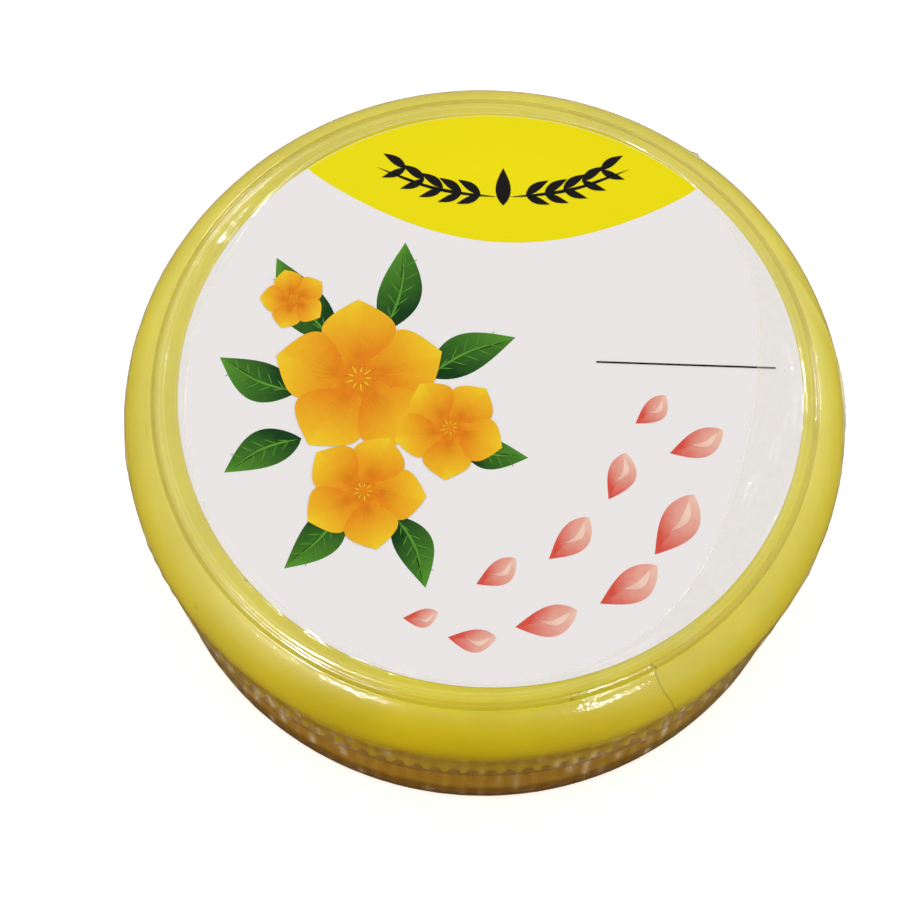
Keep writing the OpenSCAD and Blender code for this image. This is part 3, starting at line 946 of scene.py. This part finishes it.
class LidFilm:
    """Where the film lies on the lid, in mm, row by row from its hole to the skirt's edge."""

    def __init__(self, s, f):
        self.s, self.f = s, f
        self.roll = s.shoulder + f.gap + 0.01
        self.centre = s.lid_radius - s.shoulder, LID_TOP_Z - s.shoulder_down
        self.foot = s.skirt_root + s.rib_depth + f.gap + 0.05, LID_EDGE_Z + 0.12
        across, down = self.foot[0] - self.centre[0], self.foot[1] - self.centre[1]
        self.leave = math.degrees(math.atan2(down, across)
                                  + math.acos(self.roll / math.hypot(across, down)))

    def point(self, row, a):
        """Radius, height, lift off the lid and haze of the film at a row and an angle; the haze
        also carries painted reflection and painted glints.
        """
        x, y, deg = math.cos(a), math.sin(a), math.degrees(a)
        ripple = noise.noise(Vector((x * 9, y * 9, row * 0.05)))
        fine = noise.noise(Vector((x * 34, y * 34, row * 0.12)))
        zone = self.flat if row <= FLAT else self.shoulder if row <= ROUND else self.skirt
        r, z, lift, haze = zone(row, a, ripple, fine)
        fold = self.f.fold
        lift += fold * 0.1 * bump_toward(deg, SEAM + seam_drift(row), 0.4)
        if row > FLAT:
            near = bump_toward(deg, CREASE - (row - FLAT) * 1.1, 2.0)
            near *= smooth(FLAT, FLAT + 4, row) * smooth(ROUND + 4, ROUND - 6, row)
            nib = bump_toward(deg, NIB, 0.7) * bump_at(row, FLAT + 17, 2.0)
            lift += fold * 0.8 * near + 0.35 * nib
        return r, z, lift, min(1.0, haze)

    def flat(self, row, a, ripple, fine):
        """From the hole over the label and the field's edge to the start of the shoulder."""
        hole, deg = hole_edge(a), math.degrees(a)
        ring = max(30.2, hole + 0.15)
        if row <= ON_LABEL:
            r = hole + (ring - hole) * row / ON_LABEL
        else:
            r = ring + (LIP - ring) * (row - ON_LABEL) / (FLAT - ON_LABEL)
        x, y, edge = r * math.cos(a), r * math.sin(a), r - hole
        label_edge = math.hypot(x - LABEL_X, y) - LABEL_R
        shift = math.cos(a + math.radians(160))
        step = 30.5 - 0.15 * shift
        z = LABEL_TOP_Z + self.f.gap - 0.08 * smooth(0.0, 0.3, label_edge)
        z += 0.16 * bump_at(r, 29.74 + 0.28 * shift, 0.17)
        z += 0.04 * smooth(30.9, 31.1, r) - 0.26 * smooth(step - 0.08, step + 0.4, r)
        across = max(0.0, self.roll ** 2 - (r - self.centre[0]) ** 2)
        arc_z = self.centre[1] + math.sqrt(across)
        z = arc_z + (z - arc_z) * smooth(LIP, 30.9, r)

        creases = max(0.0, 1 - abs(noise.noise(Vector((x, y, 3)) * 0.33)) * 14)
        where = 0.25 + bump_toward(deg, -35, 32) + bump_toward(deg, 152, 14)
        lift = 0.07 * bump_at(edge, 0.16, 0.12) * (0.6 + ripple)
        lift += 0.07 * creases * where * smooth(0.0, 0.8, edge)
        lift += self.f.wrinkle * 0.5 * max(0.0, fine) * where
        for place, middle, half, wide, tall in FOLDS:
            along = abs(angle_between(deg, middle)) / half
            if along < 1.4:
                across = place + 0.25 * ripple + 0.1 * fine
                lift += tall * bump_at(r, across, wide) * smooth(1.4, 0.5, along)
        # Haze: whitening at the film's cut edge and creases, plus a painted reflection veil that
        # is stronger at the sides and fades toward the dim front.
        side = 0.5 + 0.5 * math.cos(2 * (a - 0.25))
        haze = 0.07 + 0.05 * side + 0.22 * bump_at(edge, 0, 0.15) + 0.05 * creases * where
        haze -= 0.04 * bump_toward(deg, FRONT + 1, 22) + 0.06 * smooth(30.2, 30.7, r)
        return r, z, lift, haze

    def on_roll(self, degrees):
        """Point of the shoulder's arc at an angle above the level."""
        turn = math.radians(degrees)
        return (self.centre[0] + self.roll * math.cos(turn),
                self.centre[1] + self.roll * math.sin(turn))

    def shoulder(self, row, a, ripple, fine):
        """Tight round the rolled shoulder, to where the film leaves it."""
        t = (row - FLAT) / (ROUND - FLAT)
        start = math.degrees(math.acos((LIP - self.centre[0]) / self.roll))
        r, z = self.on_roll(start + (self.leave - start) * t)
        lift = self.f.wrinkle * (0.35 * (ripple + 0.6) + 0.3 * max(0.0, fine))
        lift *= smooth(-0.1, 0.35, t)
        lift += self.f.crumple * 0.5 * smooth(0.5, 1.0, t) * max(0.0, ripple + fine * 0.7)
        # Painted reflection: a faint veil that fades out toward the dim front.
        return r, z, lift, 0.02 - 0.02 * bump_toward(math.degrees(a), FRONT, 28)

    def skirt(self, row, a, ripple, fine):
        """Stretched from the shoulder straight to the skirt's edge, a little drawn in."""
        t = (row - ROUND) / (LAST - ROUND)
        r, z = self.on_roll(self.leave)
        r += (self.foot[0] - r) * t - 0.25 * math.sin(math.pi * t)
        z += (self.foot[1] - z) * t
        lift = self.f.crumple * (ripple * 0.8 + fine * 0.7 + 0.5) * smooth(0, 0.15, 1 - t)
        lift += self.f.crumple * 0.5 * smooth(0.0, 0.1, t)
        # Haze on the crumpled film, with painted glints where it bears on the ribs.
        return r, z, lift, 0.03 + 0.06 * max(0.0, fine) + rib_glint(a, z, self.s.ribs)


def rib_glint(a, z, ribs):
    """Painted glints on the crumpled film where it bears on a rib, strongest toward the low
    lamps and weakest in front.
    """
    place = a * ribs / TAU
    rib = round(place)
    luck = noise.noise(Vector((rib * 3.7, z * 0.25, 2)))
    share = GLINT_MEAN + sum(more * bump_toward(math.degrees(a), middle, width)
                            for middle, width, more in GLINT_SHARES)
    return share * bump_at(place - rib, 0, 0.18) * smooth(-0.05, 0.4, luck)


class JAR_OT_film(bpy.types.Operator):
    """Model the clear shrink film on the lid and on the jar"""
    bl_idname = "jar.film"
    bl_label = "Shrink Film"

    def execute(self, context):
        s, f = in_mm(context.scene.jar_sizes), in_mm(context.scene.jar_film)
        self.skin(self.on_lid(s, f), f, "film_on_lid", "lid", "lid_film")
        self.skin(self.on_jar(s, f), f, "film_on_jar", "jar", "jar_film")
        return {"FINISHED"}

    def skin(self, bm, f, name, body, node):
        """Gives the sheet its thickness and makes it a piece."""
        bmesh.ops.recalc_face_normals(bm, faces=bm.faces)
        bmesh.ops.solidify(bm, geom=bm.faces[:], thickness=-f.thickness * MM)
        finished(bm, name, body, "film", [node], sharp=100)

    def on_lid(self, s, f):
        """From the uneven hole over the label, down the shoulder to the skirt's edge."""
        first, pitch = 20, 0.1
        bm = turned([(first + k * pitch, 30 - k * pitch) for k in range(LAST + 1)], 480)
        haze_and_reflection, painted_shade, line = (bm.verts.layers.float.new(key)
                                for key in ("haze_and_reflection", "painted_shade", "seam"))
        film = LidFilm(s, f)
        for v in bm.verts:
            a, r, _ = polar(v)
            row = round((r - first) / pitch)
            seam = angle_between(math.degrees(a), SEAM)
            a += math.radians(seam_drift(row)) * bump_at(seam, 0, 6)
            r, z, lift, haze = film.point(row, a)
            tilt = math.radians(90)
            if row > FLAT:
                tilt = math.radians(min(60.0, max(-20.0, 60 - (row - FLAT) * 2.5)))
            r += lift * math.cos(tilt)
            z += lift * math.sin(tilt)
            v.co = Vector((r * math.cos(a), r * math.sin(a), z)) * MM
            v[haze_and_reflection] = haze
            v[line] = max(0.0, 1 - abs(seam) / 3) * smooth(30, 36, row)
            # Painted shade: the film darkens in front, toward the skirt's edge.
            v[painted_shade] = 0.18 * bump_toward(math.degrees(a), -91, 24) \
                * smooth(ROUND - 4, LAST - 6, row)
        return bm

    def on_jar(self, s, f):
        """Round the jar's ribs, from under the ledge down over the heel."""
        off, low, high = f.gap + f.thickness, s.heel + 0.5, 9.8
        points = arc((s.jar_radius - s.heel, s.heel), s.heel + off, -62, 0, 9)
        points += [(s.jar_radius + off, low + k * (high - low) / 18) for k in range(19)]
        bm = turned(points, 640)
        haze_and_reflection, painted_shade = (bm.verts.layers.float.new(key) for key in ("haze_and_reflection", "painted_shade"))
        for v in bm.verts:
            a, r, z = polar(v)
            x, y = math.cos(a), math.sin(a)
            ripple = max(0.0, noise.noise(Vector((x * 10, y * 10, z * 0.25))))
            fine = max(0.0, noise.noise(Vector((x * 40, y * 40, z * 0.5))))
            set_radius(v, r + f.crumple * 0.7 * (ripple + fine) * smooth(0.6, 2.4, z))
            # Haze with painted glints on the ribs, and painted shade that darkens the film
            # toward the bottom.
            v[haze_and_reflection] = (0.02 + 0.08 * fine + rib_glint(a, z, s.ribs)) * smooth(0.8, 2.8, z)
            v[painted_shade] = 0.5 * smooth(5.2, 3.4, z) + 0.3 * smooth(2.6, 1.2, z)
        return bm


# Stage. Each low lamp: azimuth and elevation in degrees, width and height in metres, and its
# share of the window setting.
LAMPS = {
    "window_left": (-137, 38, 0.06, 0.008, 1.9),
    "window_left_far": (-137, 38, 0.28, 0.006, 0.4),
    "window_front": (-60, 27, 0.07, 0.005, 0.5),
    "window_right": (26, 24, 0.05, 0.008, 1.3),
    "window_back": (120, 35, 0.05, 0.012, 0.8),
}
LAMP_DISTANCE, LAMP_AIM_Z = 0.42, 0.02
# Light that comes from each height of the surround and from each distance on the floor, and
# the dim warm light of both in front of the jar.
SKY = [(0.0, (0.82, 0.79, 0.66)), (0.17, (0.86, 0.83, 0.74)), (0.34, 0.86), (0.5, 0.88),
       (0.64, 0.86), (0.77, 0.7), (0.87, 0.3), (0.94, 0.15)]
BOUNCE = [(0.18, (0.34, 0.25, 0.09)), (0.27, (0.48, 0.38, 0.2)), (0.48, (0.60, 0.55, 0.44)),
          (1.0, 0.85)]
SKY_FRONT, BOUNCE_FRONT = (0.46, 0.24, 0.045), (0.28, 0.14, 0.03)
CAMERA_AIM = Vector((-3.2089, -6.2166, 25.6)) * MM


def front_share(tree, direction):
    """1 toward the dim side of the studio in front of the jar, 0 away from it."""
    along = add_node(tree, "VectorMath", {0: direction, 1: (*heading(math.radians(FRONT)), 0)},
                     operation="DOT_PRODUCT")
    return ramp(tree, along.outputs["Value"], [(0.58, 0.0), (0.72, 0.2), (0.82, 0.7),
                                               (0.9, 0.88), (0.98, 1.0)])


class JAR_OT_stage(bpy.types.Operator):
    """Set up the floor, the soft studio light and the camera"""
    bl_idname = "jar.stage"
    bl_label = "Stage"

    def execute(self, context):
        st = context.scene.jar_stage
        self.floor(st)
        self.surround(st)
        self.lamps(st)
        self.camera(st)
        context.scene.view_settings.view_transform = "Standard"
        return {"FINISHED"}

    def floor(self, st):
        """A wide plain floor, a hair under the jar's foot ring."""
        bm = bmesh.new()
        bmesh.ops.create_grid(bm, x_segments=1, y_segments=1, size=3,
                              matrix=Matrix.Translation((0, 0, -0.05 * MM)))
        mesh = bpy.data.meshes.new("floor")
        bm.to_mesh(mesh)
        bm.free()
        material, tree, shader, place = new_material("floor")
        drift = cloud(tree, place, 6.0, 2.0)
        tone = mix_colour(tree, drift, tuple(st.floor), shade(st.floor, 0.99))
        socket_set(shader, {"Base Color": tone, "Roughness": 0.9, "Specular IOR Level": 0.1,
                            "Emission Color": (1.0, 1.0, 1.0), "Emission Strength": 0.5})
        spot = add_node(tree, "VectorMath", {0: place}, operation="LENGTH")
        far = ramp(tree, times(tree, spot.outputs["Value"], 4.0), BOUNCE)
        toward = add_node(tree, "VectorMath", {0: place}, operation="NORMALIZE")
        bounce = mix_colour(tree, front_share(tree, toward.outputs[0]), far, BOUNCE_FRONT)
        dim = add_node(tree, "BsdfDiffuse", {"Color": bounce})
        path = add_node(tree, "LightPath")
        mixed = add_node(tree, "MixShader", {0: path.outputs["Is Camera Ray"],
                                             1: dim.outputs[0], 2: shader.outputs[0]})
        socket_set(tree.nodes["Material Output"], {"Surface": mixed.outputs[0]})
        mesh.materials.append(material)
        plane = bpy.data.objects.new("floor", mesh)
        bpy.context.scene.collection.objects.link(plane)

    def surround(self, st):
        """A soft surround that is brightest half way up and dim in front of the jar."""
        world = bpy.data.worlds.new("surround")
        world.use_nodes = True
        tree = world.node_tree
        way = add_node(tree, "TexCoord").outputs["Generated"]
        height = add_node(tree, "SeparateXYZ", {0: way}).outputs[2]
        sky = mix_colour(tree, front_share(tree, way), ramp(tree, height, SKY), SKY_FRONT)
        socket_set(tree.nodes["Background"], {0: sky, 1: st.ambient})
        bpy.context.scene.world = world

    def lamps(self, st):
        """Low lights that only glint."""
        for name, (azimuth, elevation, wide, tall, share) in LAMPS.items():
            lamp = bpy.data.lights.new(name, "AREA")
            lamp.shape, lamp.size, lamp.size_y = "RECTANGLE", wide, tall
            lamp.energy = st.window * share * math.pi * wide * tall
            light = bpy.data.objects.new(name, lamp)
            flat, e = heading(math.radians(azimuth)), math.radians(elevation)
            out = Vector((*(flat * math.cos(e)), math.sin(e)))
            light.location = out * LAMP_DISTANCE + Vector((0, 0, LAMP_AIM_Z))
            light.rotation_euler = out.to_track_quat("Z", "Y").to_euler()
            light.visible_diffuse = False
            bpy.context.scene.collection.objects.link(light)

    def camera(self, st):
        """The camera at the photograph's angle."""
        back = Vector((0, -math.cos(st.tilt), math.sin(st.tilt)))
        right = Vector((1, 0, 0))
        up = back.cross(right)
        c, s = math.cos(st.roll), math.sin(st.roll)
        lens = bpy.data.cameras.new("camera")
        lens.lens, lens.sensor_width = st.lens, 36.0
        lens.clip_start, lens.clip_end = 0.01, 20.0
        camera = bpy.data.objects.new("camera", lens)
        axes = Matrix((right * c + up * s, up * c - right * s, back))
        camera.matrix_world = axes.transposed().to_4x4()
        camera.location = CAMERA_AIM + back * st.distance
        bpy.context.scene.collection.objects.link(camera)
        bpy.context.scene.camera = camera


class JAR_PT_panel(bpy.types.Panel):
    """Lists the jar's pieces and settings in the sidebar"""
    bl_idname = "JAR_PT_panel"
    bl_label = "Sponge Jar"
    bl_space_type = "VIEW_3D"
    bl_region_type = "UI"
    bl_category = "Jar"

    def draw(self, context):
        for operator in OPERATORS:
            self.layout.operator(operator.bl_idname)
        for name, group in SETTINGS.items():
            box = self.layout.box()
            box.label(text=group.__doc__)
            for key in group.__annotations__:
                box.prop(getattr(context.scene, name), key)


OPERATORS = (JAR_OT_body, JAR_OT_sponge, JAR_OT_seal_and_liner, JAR_OT_lid, JAR_OT_label,
             JAR_OT_film, JAR_OT_stage)
SETTINGS = {"jar_sizes": JarSizes, "jar_colours": JarColours, "jar_film": FilmSettings,
            "jar_stage": StageSettings}


def register():
    for name, group in SETTINGS.items():
        bpy.utils.register_class(group)
        setattr(bpy.types.Scene, name, PointerProperty(type=group))
    for operator in OPERATORS:
        bpy.utils.register_class(operator)
    bpy.utils.register_class(JAR_PT_panel)


def unregister():
    bpy.utils.unregister_class(JAR_PT_panel)
    for operator in reversed(OPERATORS):
        bpy.utils.unregister_class(operator)
    for name, group in SETTINGS.items():
        delattr(bpy.types.Scene, name)
        bpy.utils.unregister_class(group)


def main():
    register()
    moulded_surface_group()
    handling_marks_group()
    foam_cells_group()
    for operator in OPERATORS:
        family, name = operator.bl_idname.split(".")
        getattr(getattr(bpy.ops, family), name)()


if __name__ == "__main__":
    main()
